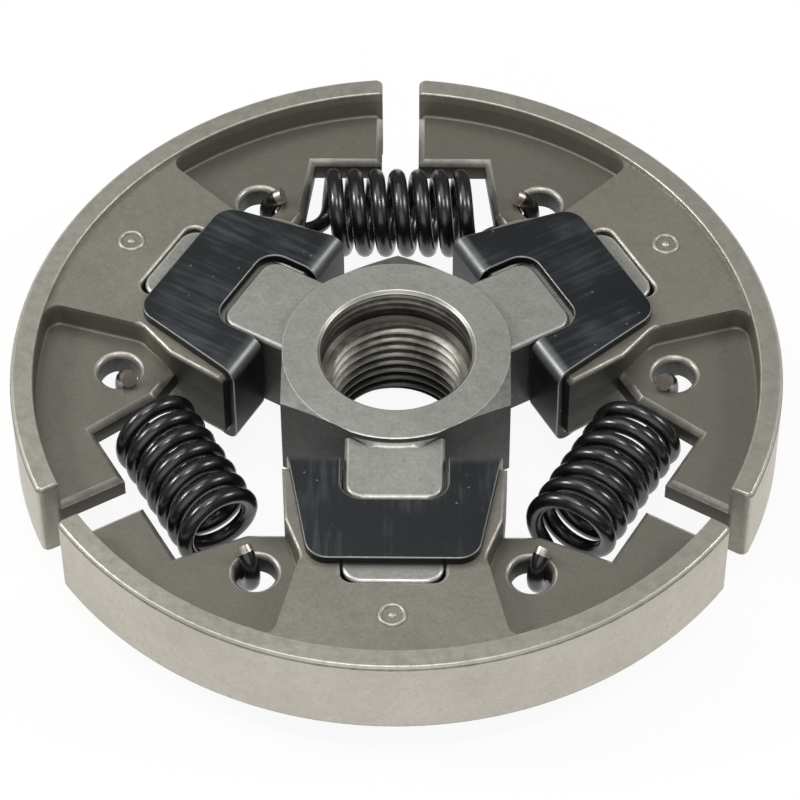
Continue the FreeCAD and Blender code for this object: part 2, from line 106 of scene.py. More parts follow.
axes = view_axes(VIEW_AZIMUTH, VIEW_ELEVATION, VIEW_ROLL)
camera = bpy.data.objects.new("camera", bpy.data.cameras.new("camera"))
camera.data.sensor_width = SENSOR_MM
camera.data.lens = LENS_MM
camera.data.clip_start = CLIP_START
camera.matrix_world = (Matrix.Translation(VIEW_TARGET + axes[2] * VIEW_DISTANCE)
                       @ Matrix(axes).transposed().to_4x4())
bpy.context.scene.collection.objects.link(camera)
bpy.context.scene.camera = camera
bpy.context.scene.view_settings.view_transform = "Standard"
print("camera at", [round(value, 4) for value in camera.location])

# %% [markdown]
# ## Nodes and colours
# Colours are written as the eye sees them, in sRGB hex, and shaders count in linear light, so one function
# turns the first into the second. A second function adds a node, sets its values and wires its inputs, which
# keeps each finish readable from top to bottom.

# %% Helpers for materials


def colour(code):
    """Linear colour of an sRGB hex value."""
    shares = [int(code[at:at + 2], 16) / 255 for at in (1, 3, 5)]
    linear = [share / 12.92 if share <= 0.04045 else ((share + 0.055) / 1.055) ** 2.4 for share in shares]
    return linear + [1.0]


def add(tree, kind, inputs=None, **settings):
    """Adds a node; inputs are values or other nodes' outputs, by name or number."""
    node = tree.nodes.new(kind)
    for name, value in settings.items():
        setattr(node, name, value)
    for name, value in (inputs or {}).items():
        if isinstance(value, bpy.types.NodeSocket):
            tree.links.new(value, node.inputs[name])
        else:
            node.inputs[name].default_value = value
    return node


def new_material(name):
    """An empty node tree and its Object coordinates."""
    material = bpy.data.materials.new(name)
    material.use_nodes = True
    tree = material.node_tree
    tree.nodes.clear()
    return material, tree, add(tree, "ShaderNodeTexCoord").outputs["Object"]


def per_metre(size_mm):
    """Texture scale that gives features of a real size."""
    return 1.0 / (size_mm * MM)


print("warm grey is", [round(share, 3) for share in colour("#8b887e")])

# %% [markdown]
# ## Floor and light
# A product photograph like this stands on white paper under large soft lamps. The paper is a pale floor that
# shows itself white to the camera and to reflections, and still takes a soft shadow from the clutch. From
# below it is clear, so that the underside can be looked at. Small lamps beside the large one give the row of
# sharp lights that the black coils show.

# %% Floor
FLOOR_WHITE = 0.92
FLOOR_REACH, FLOOR_DROP = 6.0, 0.05 * MM


def make_paper():
    """White paper: partly its own white, partly lit, so that a shadow stays."""
    material, tree, _ = new_material("white_studio_paper")
    rays = add(tree, "ShaderNodeLightPath")
    seen = add(tree, "ShaderNodeMath", {0: rays.outputs["Is Camera Ray"], 1: rays.outputs["Is Glossy Ray"]},
               operation="MAXIMUM")
    seen = add(tree, "ShaderNodeMath", {0: seen.outputs[0], 1: rays.outputs["Is Transmission Ray"]},
               operation="MAXIMUM")
    share = add(tree, "ShaderNodeMath", {0: seen.outputs[0], 1: FLOOR_WHITE}, operation="MULTIPLY")
    lit = add(tree, "ShaderNodeBsdfDiffuse", {"Color": colour("#f7f7f5")})
    glow = add(tree, "ShaderNodeEmission", {"Color": (1, 1, 1, 1), "Strength": 1.0})
    both = add(tree, "ShaderNodeMixShader", {0: share.outputs[0], 1: lit.outputs[0], 2: glow.outputs[0]})
    below = add(tree, "ShaderNodeNewGeometry").outputs["Backfacing"]
    clear = add(tree, "ShaderNodeBsdfTransparent")
    sheet = add(tree, "ShaderNodeMixShader", {0: below, 1: both.outputs[0], 2: clear.outputs[0]})
    add(tree, "ShaderNodeOutputMaterial", {"Surface": sheet.outputs[0]})
    return material


floor_mesh = bmesh.new()
bmesh.ops.create_grid(floor_mesh, x_segments=1, y_segments=1, size=FLOOR_REACH,
                      matrix=Matrix.Translation((0, 0, -FLOOR_DROP)))
floor_data = bpy.data.meshes.new("floor")
floor_mesh.to_mesh(floor_data)
floor_mesh.free()
floor_data.materials.append(make_paper())
floor = bpy.data.objects.new("floor", floor_data)
bpy.context.scene.collection.objects.link(floor)
print("floor of", [round(side, 2) for side in floor.dimensions[:2]], "m")

# %% [markdown]
# ### Lamps
# Each lamp has a place, a size and a power. A world with a plain grey stands for the rest of the room.

# %% Lamps and the room's own light
LAMPS = {
    "overhead_softbox": ((-0.10, 0.12, 0.42), 0.30, 0.44),
    "front_softbox": ((0.0, -0.70, 0.36), 0.80, 1.80),
    "left_lamp": ((-0.34, 0.04, 0.28), 0.10, 0.78),
    "right_lamp": ((0.34, 0.04, 0.28), 0.10, 0.54),
    "front_lamp": ((0.0, -0.10, 0.50), 0.08, 0.58),
}
ROOM_LIGHT = 0.18

for name, (place, size, watts) in LAMPS.items():
    lamp = bpy.data.lights.new(name, "AREA")
    lamp.size = size
    lamp.energy = watts
    holder = bpy.data.objects.new(name, lamp)
    holder.location = place
    holder.rotation_mode = "QUATERNION"
    holder.rotation_quaternion = (Vector((0, 0, MID_HEIGHT)) - Vector(place)).to_track_quat("-Z", "Y")
    bpy.context.scene.collection.objects.link(holder)
room = bpy.data.worlds.new("room")
room.use_nodes = True
room.node_tree.nodes.clear()
room_light = add(room.node_tree, "ShaderNodeBackground", {"Color": (1, 1, 1, 1), "Strength": ROOM_LIGHT})
add(room.node_tree, "ShaderNodeOutputWorld", {"Surface": room_light.outputs[0]})
bpy.context.scene.world = room
print(len(LAMPS), "soft lamps and a grey room")

# %% [markdown]
# ## Sintered iron
# Shoes and carrier are pressed from iron powder and baked, then treated with steam. That leaves a warm grey,
# satin skin with a fine grain, faint clouds, a few open pores, and bright metal where handling has rubbed the
# edges. A photograph could be wrapped round the parts, but noise at real sizes has no seams and no repeats.
# How far an edge is worn, and a painted sheen on leaning faces, are kept in an attribute of the mesh.

# %% Sintered iron for shoes and carrier
GRAIN_MM, SPECK_MM, CLOUD_MM, PORE_MM = 0.3, 1.1, 7.0, 0.9
GRAIN_SHARE, CLOUD_SHARE, PORE_SHARE = 0.5, 0.35, 0.35
PORE_TONE = "#5b574f"
MATTE_ROUGH, SATIN_ROUGH, RUBBED_ROUGH = 0.56, 0.44, 0.34
IRON_METAL = 0.7
GRAIN_BUMP, GRAIN_DEPTH = 0.4, 0.035 * MM


def sintered_iron(name, skin, shade, bare, shoe_centre=None):
    """Skin and shade are the steamed surface's two tones, bare is rubbed metal and painted sheen; a shoe has
    more tones.
    """
    material, tree, place = new_material(name)
    grain = add(tree, "ShaderNodeTexNoise", {"Vector": place, "Scale": per_metre(GRAIN_MM), "Detail": 3.0})
    speck = add(tree, "ShaderNodeTexNoise", {"Vector": place, "Scale": per_metre(SPECK_MM), "Detail": 4.0,
                                             "Roughness": 0.7})
    cloud = add(tree, "ShaderNodeTexNoise", {"Vector": place, "Scale": per_metre(CLOUD_MM), "Detail": 3.0})
    tone = add(tree, "ShaderNodeMix", {0: GRAIN_SHARE, 2: speck.outputs["Fac"], 3: grain.outputs["Fac"]})
    tone = add(tree, "ShaderNodeMix", {0: CLOUD_SHARE, 2: tone.outputs[0], 3: cloud.outputs["Fac"]})
    tone = add(tree, "ShaderNodeMapRange", {"Value": tone.outputs[0], "From Min": 0.3, "From Max": 0.7})
    base = add(tree, "ShaderNodeMix", {0: tone.outputs[0], 6: colour(shade), 7: colour(skin)},
               data_type="RGBA").outputs[2]
    if shoe_centre:
        base = shoe_tones(tree, place, shoe_centre, tone.outputs[0], base)
    pore = add(tree, "ShaderNodeTexVoronoi", {"Vector": place, "Scale": per_metre(PORE_MM)})
    pit = add(tree, "ShaderNodeMapRange", {"Value": pore.outputs["Distance"], "From Min": 0.04,
                                           "From Max": 0.22, "To Min": PORE_SHARE, "To Max": 0.0})
    some = add(tree, "ShaderNodeMapRange", {"Value": cloud.outputs["Fac"], "From Min": 0.48, "From Max": 0.6})
    pit = add(tree, "ShaderNodeMath", {0: pit.outputs[0], 1: some.outputs[0]}, operation="MULTIPLY")
    base = add(tree, "ShaderNodeMix", {0: pit.outputs[0], 6: base, 7: colour(PORE_TONE)},
               data_type="RGBA").outputs[2]
    worn_and_sheen = add(tree, "ShaderNodeAttribute", attribute_name="wear_and_sheen")
    patchy = add(tree, "ShaderNodeMapRange", {"Value": speck.outputs["Fac"], "From Min": 0.35,
                                              "From Max": 0.6, "To Min": 0.55, "To Max": 1.0})
    # Bare metal where edges are worn and where leaning faces have a painted sheen.
    rubbed_and_sheen = add(tree, "ShaderNodeMath", {0: patchy.outputs[0], 1: worn_and_sheen.outputs["Fac"]}, operation="MULTIPLY")
    base = add(tree, "ShaderNodeMix", {0: rubbed_and_sheen.outputs[0], 6: base, 7: colour(bare)},
               data_type="RGBA").outputs[2]
    rough = add(tree, "ShaderNodeMapRange", {"Value": tone.outputs[0], "To Min": MATTE_ROUGH,
                                             "To Max": SATIN_ROUGH})
    rough = add(tree, "ShaderNodeMix", {0: rubbed_and_sheen.outputs[0], 2: rough.outputs[0], 3: RUBBED_ROUGH})
    height = add(tree, "ShaderNodeMath", {0: grain.outputs["Fac"], 1: speck.outputs["Fac"]}, operation="ADD")
    height = add(tree, "ShaderNodeMath", {0: height.outputs[0], 1: pit.outputs[0]}, operation="SUBTRACT")
    bump = add(tree, "ShaderNodeBump", {"Height": height.outputs[0], "Strength": GRAIN_BUMP,
                                        "Distance": GRAIN_DEPTH})
    metal = add(tree, "ShaderNodeBsdfPrincipled", {"Base Color": base, "Metallic": IRON_METAL,
                                                   "Roughness": rough.outputs[0], "Normal": bump.outputs[0]})
    add(tree, "ShaderNodeOutputMaterial", {"Surface": metal.outputs[0]})
    return material


print("grain of", GRAIN_MM, "mm, specks of", SPECK_MM, "mm and clouds of", CLOUD_MM, "mm")

# %% [markdown]
# ### Four places on a shoe
# The friction face is ground to the drum's radius and is lighter than the skin. The webs and the walls round
# them lie deep between the rims and get a painted shade, and the webs' upright ends and edges a darker
# painted shade. The block's sides near the hub get a dark painted shade. All four can be told from a point's
# height and its distance from the shoe's own centre. A tone is full at one such measure and gone at another.

# %% Tones of the friction face, the webs and the block's sides
DRUM_RADIUS, SHOE_TRAVEL = 33.0 * MM, 1.0 * MM
WEB_HALF, BLOCK_HALF, RIM_HALF = 1.25 * MM, 3.55 * MM, 4.05 * MM
INSIDE_FULL, INSIDE_GONE = 31.2 * MM, 31.5 * MM
# Painted shade on the webs and the walls round them, full below one height and gone above another.
RECESS_SHADE_FULL, RECESS_SHADE_GONE = BLOCK_HALF - 0.6 * MM, BLOCK_HALF - 0.2 * MM
# Darker painted shade on the webs' upright ends and edges, full below one height and gone above another.
WEB_END_SHADE_FULL, WEB_END_SHADE_GONE = WEB_HALF - 0.45 * MM, WEB_HALF - 0.25 * MM
# Painted shade on the block's sides near the hub, full within one distance of the shoe's centre, gone beyond
# another.
BLOCK_SIDE_SHADE_FULL, BLOCK_SIDE_SHADE_GONE = 18.5 * MM, 22.0 * MM
GROUND_FULL, GROUND_GONE = DRUM_RADIUS - 0.1 * MM, DRUM_RADIUS - 0.3 * MM
# Shares and tones of three painted shades: the webs and their walls, the webs' upright edges, the block's
# sides.
RECESS_SHADE_SHARE, WEB_END_SHADE_SHARE, BLOCK_SIDE_SHADE_SHARE = 0.55, 0.8, 1.6
RECESS_SHADE_TONE, WEB_END_SHADE_TONE, BLOCK_SIDE_SHADE_TONE = "#66645b", "#3b3933", "#262521"
GROUND_SHADE, GROUND_SKIN = "#b4afa3", "#cdc8bd"


def shoe_tones(tree, place, centre, tone, base):
    """Paints shade on the webs and the block's sides and lightens the friction face, about the shoe's own
    centre.
    """
    height = add(tree, "ShaderNodeSeparateXYZ", {0: place}).outputs["Z"]
    height = add(tree, "ShaderNodeMath", {0: height, 1: MID_HEIGHT}, operation="SUBTRACT")
    height = add(tree, "ShaderNodeMath", {0: height.outputs[0]}, operation="ABSOLUTE").outputs[0]
    flat = add(tree, "ShaderNodeVectorMath", {0: place, 1: (1, 1, 0)}, operation="MULTIPLY")
    away = add(tree, "ShaderNodeVectorMath", {0: flat.outputs[0], 1: centre},
               operation="DISTANCE").outputs["Value"]
    inside = add(tree, "ShaderNodeMapRange", {"Value": away, "From Min": INSIDE_FULL, "From Max": INSIDE_GONE,
                                              "To Min": 1.0, "To Max": 0.0})
    # Painted shade where the webs and the walls round them lie deep.
    recess_shade = add(tree, "ShaderNodeMapRange", {"Value": height, "From Min": RECESS_SHADE_FULL, "From Max": RECESS_SHADE_GONE,
                                            "To Min": RECESS_SHADE_SHARE, "To Max": 0.0})
    recess_shade = add(tree, "ShaderNodeMath", {0: recess_shade.outputs[0], 1: inside.outputs[0]}, operation="MULTIPLY")
    base = add(tree, "ShaderNodeMix", {0: recess_shade.outputs[0], 6: base, 7: colour(RECESS_SHADE_TONE)}, data_type="RGBA")
    # A darker painted shade on the webs' upright ends and edges.
    ends = add(tree, "ShaderNodeMapRange", {"Value": height, "From Min": WEB_END_SHADE_FULL,
                                            "From Max": WEB_END_SHADE_GONE, "To Min": WEB_END_SHADE_SHARE,
                                            "To Max": 0.0})
    ends = add(tree, "ShaderNodeMath", {0: ends.outputs[0], 1: inside.outputs[0]}, operation="MULTIPLY")
    base = add(tree, "ShaderNodeMix", {0: ends.outputs[0], 6: base.outputs[2], 7: colour(WEB_END_SHADE_TONE)},
               data_type="RGBA")
    # A dark painted shade on the block's sides near the hub.
    block_side_shade = add(tree, "ShaderNodeMapRange", {"Value": away, "From Min": BLOCK_SIDE_SHADE_FULL, "From Max": BLOCK_SIDE_SHADE_GONE,
                                             "To Min": BLOCK_SIDE_SHADE_SHARE, "To Max": 0.0})
    block_side_shade = add(tree, "ShaderNodeMath", {0: block_side_shade.outputs[0], 1: recess_shade.outputs[0]}, operation="MULTIPLY")
    base = add(tree, "ShaderNodeMix", {0: block_side_shade.outputs[0], 6: base.outputs[2], 7: colour(BLOCK_SIDE_SHADE_TONE)},
               data_type="RGBA")
    face = add(tree, "ShaderNodeMapRange", {"Value": away, "From Min": GROUND_GONE, "From Max": GROUND_FULL})
    ground = add(tree, "ShaderNodeMix", {0: tone, 6: colour(GROUND_SHADE), 7: colour(GROUND_SKIN)},
                 data_type="RGBA")
    return add(tree, "ShaderNodeMix", {0: face.outputs[0], 6: base.outputs[2], 7: ground.outputs[2]},
               data_type="RGBA").outputs[2]


shoe_finish = {}
for side, angle in ARMS.items():
    centre = Matrix.Rotation(math.radians(angle), 3, "Z") @ Vector((-SHOE_TRAVEL, 0, 0))
    shoe_finish[side] = sintered_iron(f"steamed_sintered_iron_{side}", "#9b988d", "#7e7b71", "#d6d2c8",
                                      centre)
carrier_finish = sintered_iron("steamed_sintered_iron_hub", "#b5b5af", "#878781", "#dad8d2")
# A darker copy of the sintered iron is a painted shade on the hub's upright sides and free chamfers, the
# walls of the hook holes and the rim's lower chamfer.
shaded_side_finish = sintered_iron("sintered_iron_painted_shade", "#5a5b58", "#3d3e3c", "#c9c7c0")
print("sintered iron:", ", ".join(shoe_finish), "shoes, the hub and its sides")

# %% [markdown]
# ## Turned iron
# The bore is turned and its thread cut after the steam, so the metal there is bright. A coarse tool has left
# rings in the plain mouth of the bore, dark at their bottoms. A painted shade darkens the mouth's corner and
# the lower turns of the thread, deeper in the bore. The rings are bands along the bore's axis, and the
# painted shade is told by the height alone.

# %% Turned iron for the bore and its thread
RING_MM, SMEAR_MM = 0.7, 1.2
# Bands repeat every tau / 20 of the texture's own unit.
BAND_SCALE = math.tau / 20 * per_metre(RING_MM)
TURNED_SHADE, TURNED_SKIN, TURNED_BARE = "#716e68", "#a3a098", "#dedbd4"
# The grooves' tone, and the tone and share of the painted shade deep in the bore.
GROOVE_TONE, BORE_SHADE_TONE, BORE_SHADE_SHARE = "#2c2b29", "#2b2a27", 0.9
TURNED_METAL, RING_DEPTH = 0.9, 0.06 * MM


def turned_iron(name, ring_share, shade_gone_above, shade_full_below):
    """Bright iron with rings round the bore, unshaded above one height and with full painted shade below
    another.
    """
    material, tree, place = new_material(name)
    ring = add(tree, "ShaderNodeTexWave", {"Vector": place, "Scale": BAND_SCALE, "Distortion": 0.6,
                                           "Detail": 2.0, "Detail Scale": 0.02}, bands_direction="Z")
    smear = add(tree, "ShaderNodeTexNoise", {"Vector": place, "Scale": per_metre(SMEAR_MM), "Detail": 5.0,
                                             "Roughness": 0.65})
    bright = add(tree, "ShaderNodeMapRange", {"Value": smear.outputs["Fac"], "From Min": 0.35,
                                              "From Max": 0.65})
    base = add(tree, "ShaderNodeMix", {0: bright.outputs[0], 6: colour(TURNED_SHADE), 7: colour(TURNED_SKIN)},
               data_type="RGBA")
    groove = add(tree, "ShaderNodeMapRange", {"Value": ring.outputs["Fac"], "From Min": 0.35, "From Max": 0.0,
                                              "To Max": ring_share})
    base = add(tree, "ShaderNodeMix", {0: groove.outputs[0], 6: base.outputs[2], 7: colour(GROOVE_TONE)},
               data_type="RGBA")
    height = add(tree, "ShaderNodeSeparateXYZ", {0: place}).outputs["Z"]
    # Painted shade deeper in the bore, full below one height and gone above another.
    bore_shade = add(tree, "ShaderNodeMapRange", {"Value": height, "From Min": shade_gone_above, "From Max": shade_full_below,
                                           "To Max": BORE_SHADE_SHARE})
    base = add(tree, "ShaderNodeMix", {0: bore_shade.outputs[0], 6: base.outputs[2], 7: colour(BORE_SHADE_TONE)},
               data_type="RGBA")
    # Bright bare metal where edges are worn and where leaning faces have a painted sheen.
    worn_and_sheen = add(tree, "ShaderNodeAttribute", attribute_name="wear_and_sheen")
    base = add(tree, "ShaderNodeMix", {0: worn_and_sheen.outputs["Fac"], 6: base.outputs[2], 7: colour(TURNED_BARE)},
               data_type="RGBA")
    rough = add(tree, "ShaderNodeMapRange", {"Value": smear.outputs["Fac"], "To Min": 0.3, "To Max": 0.5})
    bump = add(tree, "ShaderNodeBump", {"Height": ring.outputs["Fac"], "Strength": ring_share,
                                        "Distance": RING_DEPTH})
    metal = add(tree, "ShaderNodeBsdfPrincipled", {"Base Color": base.outputs[2], "Metallic": TURNED_METAL,
                                                   "Roughness": rough.outputs[0], "Normal": bump.outputs[0]})
    add(tree, "ShaderNodeOutputMaterial", {"Surface": metal.outputs[0]})
    return material


# The bore's mouth corner and the thread's lower turns get the painted shade.
bore_finish = turned_iron("turned_iron_bore", 0.8, 10.8 * MM, 9.4 * MM)
thread_finish = turned_iron("cut_iron_thread", 0.0, 7.0 * MM, 2.0 * MM)
print("bore:", bore_finish.name, "and", thread_finish.name)

# %% [markdown]
# ## Blackened sheet
# The clips are stamped and folded from spring steel and blackened in a hot bath. The black is thin, so
# sliding draws fine light lines in it along the way the clip goes on, and the sheared edges show bare steel.
# The folds get a painted highlight in the same bare tone.

# %% Black oxide for the clips
STREAK_MM = (6.0, 0.5, 0.5)
THIN_MM, NICK_MM = 4.5, 1.5
# Tone and share of the bare steel on sheared edges and of the painted highlight on the folds.
NICK_TONE, SHEARED_AND_HIGHLIGHT_TONE = "#b4b5b3", "#a7a9a8"
NICK_SHARE, SHEARED_AND_HIGHLIGHT_SHARE = 0.45, 0.8
SHEET_METAL = 0.6
STREAK_BUMP, STREAK_DEPTH = 0.12, 0.01 * MM


def blackened_sheet(name, angle, black, thinned):
    """The streaks lie along the arm, so the pattern turns with it; thinned is the rubbed black."""
    material, tree, place = new_material(name)
    turned = add(tree, "ShaderNodeMapping", {"Vector": place, "Rotation": (0, 0, -math.radians(angle))})
    drawn = add(tree, "ShaderNodeVectorMath",
                {0: turned.outputs[0], 1: [per_metre(size) for size in STREAK_MM]}, operation="MULTIPLY")
    streak = add(tree, "ShaderNodeTexNoise", {"Vector": drawn.outputs[0], "Scale": 1.0, "Detail": 3.0})
    cloud = add(tree, "ShaderNodeTexNoise", {"Vector": place, "Scale": per_metre(THIN_MM), "Detail": 3.0})
    thin = add(tree, "ShaderNodeMath", {0: streak.outputs["Fac"], 1: cloud.outputs["Fac"]},
               operation="MULTIPLY")
    thin = add(tree, "ShaderNodeMapRange", {"Value": thin.outputs[0], "From Min": 0.24, "From Max": 0.56})
    base = add(tree, "ShaderNodeMix", {0: thin.outputs[0], 6: colour(black), 7: colour(thinned)},
               data_type="RGBA")
    nick = add(tree, "ShaderNodeTexVoronoi", {"Vector": place, "Scale": per_metre(NICK_MM)})
    nick = add(tree, "ShaderNodeMapRange", {"Value": nick.outputs["Distance"], "From Min": 0.03,
                                            "From Max": 0.08, "To Min": NICK_SHARE, "To Max": 0.0})
    base = add(tree, "ShaderNodeMix", {0: nick.outputs[0], 6: base.outputs[2], 7: colour(NICK_TONE)},
               data_type="RGBA")
    worn_and_sheen = add(tree, "ShaderNodeAttribute", attribute_name="wear_and_sheen")
    # Bare steel on the sheared edges, and a painted highlight on the folds.
    sheared_and_highlight = add(tree, "ShaderNodeMath", {0: worn_and_sheen.outputs["Fac"], 1: SHEARED_AND_HIGHLIGHT_SHARE}, operation="MULTIPLY")
    base = add(tree, "ShaderNodeMix", {0: sheared_and_highlight.outputs[0], 6: base.outputs[2], 7: colour(SHEARED_AND_HIGHLIGHT_TONE)},
               data_type="RGBA")
    rough = add(tree, "ShaderNodeMapRange", {"Value": cloud.outputs["Fac"], "From Min": 0.3, "From Max": 0.7,
                                             "To Min": 0.3, "To Max": 0.44})
    bump = add(tree, "ShaderNodeBump", {"Height": streak.outputs["Fac"], "Strength": STREAK_BUMP,
                                        "Distance": STREAK_DEPTH})
    metal = add(tree, "ShaderNodeBsdfPrincipled", {"Base Color": base.outputs[2], "Metallic": SHEET_METAL,
                                                   "Roughness": rough.outputs[0], "Normal": bump.outputs[0]})
    add(tree, "ShaderNodeOutputMaterial", {"Surface": metal.outputs[0]})
    return material


clip_finish = {side: blackened_sheet(f"blackened_spring_steel_{side}", angle, "#2a2d2f", "#565a5d")
               for side, angle in ARMS.items()}
# The upright sides take a darker copy of the black, a painted shade.
clip_sides_shade = blackened_sheet("blackened_steel_painted_shade", 0.0, "#0e0f10", "#191a1b")
print("blackened sheet:", ", ".join(clip_finish), "and", clip_sides_shade.name)

# %% [markdown]
# ## Spring wire
# Oil-tempered wire is nearly black and smooth, so it shows a small sharp light on every coil. Its ends are
# cut with shears after blackening and show bare, slightly rusty steel.

# %% Wire and its cut ends
HAZE_MM, TEAR_MM = 0.9, 0.4
WIRE_IOR = 1.75
CUT_METAL, CUT_ROUGH = 0.9, 0.38
TEAR_BUMP, TEAR_DEPTH = 0.6, 0.06 * MM


def wire_finish():
    """Smooth black wire with a little haze."""
    material, tree, place = new_material("oil_tempered_spring_wire")
    haze = add(tree, "ShaderNodeTexNoise", {"Vector": place, "Scale": per_metre(HAZE_MM), "Detail": 3.0})
    base = add(tree, "ShaderNodeMix", {0: haze.outputs["Fac"], 6: colour("#070708"), 7: colour("#121212")},
               data_type="RGBA")
    rough = add(tree, "ShaderNodeMapRange", {"Value": haze.outputs["Fac"], "From Min": 0.3, "From Max": 0.7,
                                             "To Min": 0.22, "To Max": 0.32})
    wire = add(tree, "ShaderNodeBsdfPrincipled", {"Base Color": base.outputs[2], "Metallic": 0.0,
                                                  "IOR": WIRE_IOR, "Roughness": rough.outputs[0]})
    add(tree, "ShaderNodeOutputMaterial", {"Surface": wire.outputs[0]})
    return material


def cut_end_finish():
    """Torn bare steel."""
    material, tree, place = new_material("sheared_wire_end")
    torn = add(tree, "ShaderNodeTexNoise", {"Vector": place, "Scale": per_metre(TEAR_MM), "Detail": 4.0})
    base = add(tree, "ShaderNodeMix", {0: torn.outputs["Fac"], 6: colour("#a3968c"), 7: colour("#e3dad1")},
               data_type="RGBA")
    bump = add(tree, "ShaderNodeBump", {"Height": torn.outputs["Fac"], "Strength": TEAR_BUMP,
                                        "Distance": TEAR_DEPTH})
    end = add(tree, "ShaderNodeBsdfPrincipled", {"Base Color": base.outputs[2], "Metallic": CUT_METAL,
                                                 "Roughness": CUT_ROUGH, "Normal": bump.outputs[0]})
    add(tree, "ShaderNodeOutputMaterial", {"Surface": end.outputs[0]})
    return material


black_wire = wire_finish()
bare_end = cut_end_finish()
print("wire:", black_wire.name, "and", bare_end.name)

# %% [markdown]
# ## Soft edges
# Pressed and tumbled parts have no knife edges. The solids have their chamfers and main rounds already, so a
# copy of each solid is merged, its flat faces are joined, and the edges that are still sharp are bevelled a
# group at a time, the hollow feet of the walls first. How far a round or a chamfer is rubbed, and a painted
# sheen on chamfers and bends, are written on their faces, and the finishes read them there.

# %% Helpers that soften a copy of a solid
MERGE = 1e-6
FLAT_LIMIT = math.radians(0.4)
# Places in a piece's list of finishes: its skin, its sides with painted shade, and a bore.
SKIN, SHADED_SIDES, BORE = 0, 1, 2


def copy_of(node):
    """A merged bmesh of a CAD node, with its flat faces joined and no face worn yet."""
    shape = bmesh.new()
    shape.from_mesh(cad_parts[node].data)
    bmesh.ops.remove_doubles(shape, verts=shape.verts, dist=MERGE)
    bmesh.ops.dissolve_limit(shape, angle_limit=FLAT_LIMIT, verts=shape.verts, edges=shape.edges)
    shape.faces.layers.float.new("wear_and_sheen")
    return shape


def sharp_edges(shape, low, high, test=None):
    """Edges whose faces turn by an angle between two limits, in degrees; a hollow edge's turn is negative."""
    return [edge for edge in shape.edges
            if low <= math.degrees(edge.calc_face_angle_signed(0)) <= high and (test is None or test(edge))]


def soften(shape, edges, width_mm, wear_and_sheen, steps, finish=SKIN):
    """Rounds a group of edges and says how far the rounds are worn and which finish they take."""
    rounds = bmesh.ops.bevel(shape, geom=edges, offset=width_mm * MM, offset_type="OFFSET", segments=steps,
                             profile=0.5, affect="EDGES", clamp_overlap=True, material=-1, loop_slide=True)
    rub(shape, rounds["faces"], wear_and_sheen)
    for face in rounds["faces"]:
        face.material_index = finish
    bmesh.ops.dissolve_degenerate(shape, dist=MERGE, edges=shape.edges)


def rub(shape, faces, wear_and_sheen):
    """Sets the wear and painted sheen of some faces."""
    layer = shape.faces.layers.float["wear_and_sheen"]
    for face in faces:
        face[layer] = wear_and_sheen


def wear_and_sheen_leaning(shape, most):
    """Wears chamfers and bends and paints a sheen on them, most where a face leans by half a right angle."""
    for face in shape.faces:
        lean = math.acos(min(abs(face.normal.z), 1)) / (math.pi / 4)
        rub(shape, [face], most * max(1 - abs(lean - 1), 0))


print("faces that turn by less than", round(math.degrees(FLAT_LIMIT), 2), "degrees are joined")

# %% [markdown]
# ### From a bmesh to a piece
# A bevelled solid has large flat faces beside narrow rounds, and plain smooth shading would bend the light on
# the flat ones. So each corner gets a normal that the larger faces round it decide, and a face that turns
# away steeply has no say.

# %% Helpers that finish a piece
SMOOTH_LIMIT = math.cos(math.radians(50))


def even_normals(shape):
    """A normal for every corner, from the faces round it that turn little, so large flat faces stay flat."""
    areas = {face: face.calc_area() for face in shape.faces}
    normals = []
    for face in shape.faces:
        for corner in face.loops:
            near = [other for other in corner.vert.link_faces if other.normal.dot(face.normal) > SMOOTH_LIMIT]
            normals.append(sum((other.normal * areas[other] for other in near), Vector()).normalized())
    return normals


def finish_piece(shape, name, materials, body=None, node=None):
    """Turns a bmesh into a piece that takes a finish, rides on a body and stands for a CAD node."""
    for face in shape.faces:
        face.smooth = True
    normals = even_normals(shape)
    data = bpy.data.meshes.new(name)
    shape.to_mesh(data)
    shape.free()
    data.normals_split_custom_set(normals)
    for material in materials:
        data.materials.append(material)
    piece = bpy.data.objects.new(name, data)
    bpy.context.scene.collection.objects.link(piece)
    if body:
        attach(piece, body)
    if node:
        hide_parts(node)
    print(name, len(data.polygons), "faces")
    return piece


print("corners are smooth up to", round(math.degrees(math.acos(SMOOTH_LIMIT))), "degrees")

# %% [markdown]
# ## Shoes
# Each shoe is one pressing: a friction rim, two thin webs and a heavy block. The feet of the walls have a
# generous round so that the powder leaves the die, and the free edges a small one. The groups are found by
# the height at which an edge lies and by its distance from the shoe's own centre. Where the block's side runs
# into the rim the two edges meet in a point, and there they stay as they are. A bevel is only as wide as the
# shortest edge in its group allows, so short edges are kept out of the group of the webs' chamfers.

# %% Groups of edges on a shoe
LEVEL = 0.02 * MM
FREE_EDGE, HOLLOW_EDGE, BROKEN_EDGE = (60, 120), (-120, -60), (30, 60)
FOOT_FROM, BLOCK_UNTIL = 21.6 * MM, 29.0 * MM
RIM_FROM, RIM_UNTIL = 32.0 * MM, 33.1 * MM
BREAK = 0.25 * MM
LONG = 0.6 * MM
